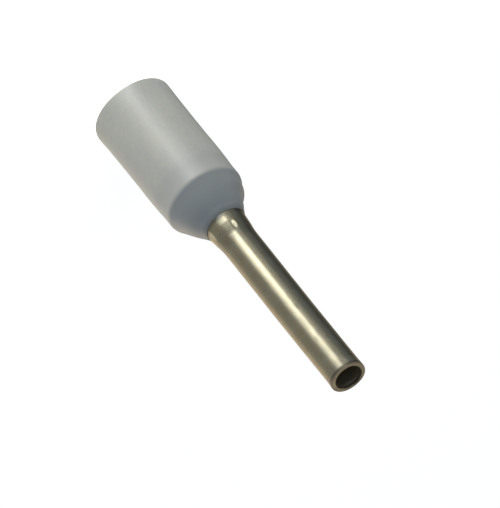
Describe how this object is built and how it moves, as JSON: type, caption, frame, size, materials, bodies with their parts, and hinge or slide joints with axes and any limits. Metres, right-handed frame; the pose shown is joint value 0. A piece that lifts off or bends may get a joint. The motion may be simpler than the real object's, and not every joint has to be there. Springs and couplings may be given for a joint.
{
  "type": "insulated wire ferrule",
  "caption": "Crimp sleeve for a stranded wire's end: a thin tin-plated tube, flared inside a grey plastic collar that takes the wire's insulation.",
  "frame": {"origin": "middle of the collar's mouth, in the plane of the rim that the ferrule stands on", "axes": "+Z along the sleeve, from the collar's mouth to the sleeve's open tip; the part is round, so +X and +Y are any two square directions"},
  "size_m": [0.003, 0.003, 0.0142],
  "materials": {
    "plated_copper": "satin",
    "collar_plastic": "satin"
  },
  "bodies": {
    "root": {"crimp_sleeve": "plated_copper", "insulating_collar": "collar_plastic"}
  },
  "joints": []
}
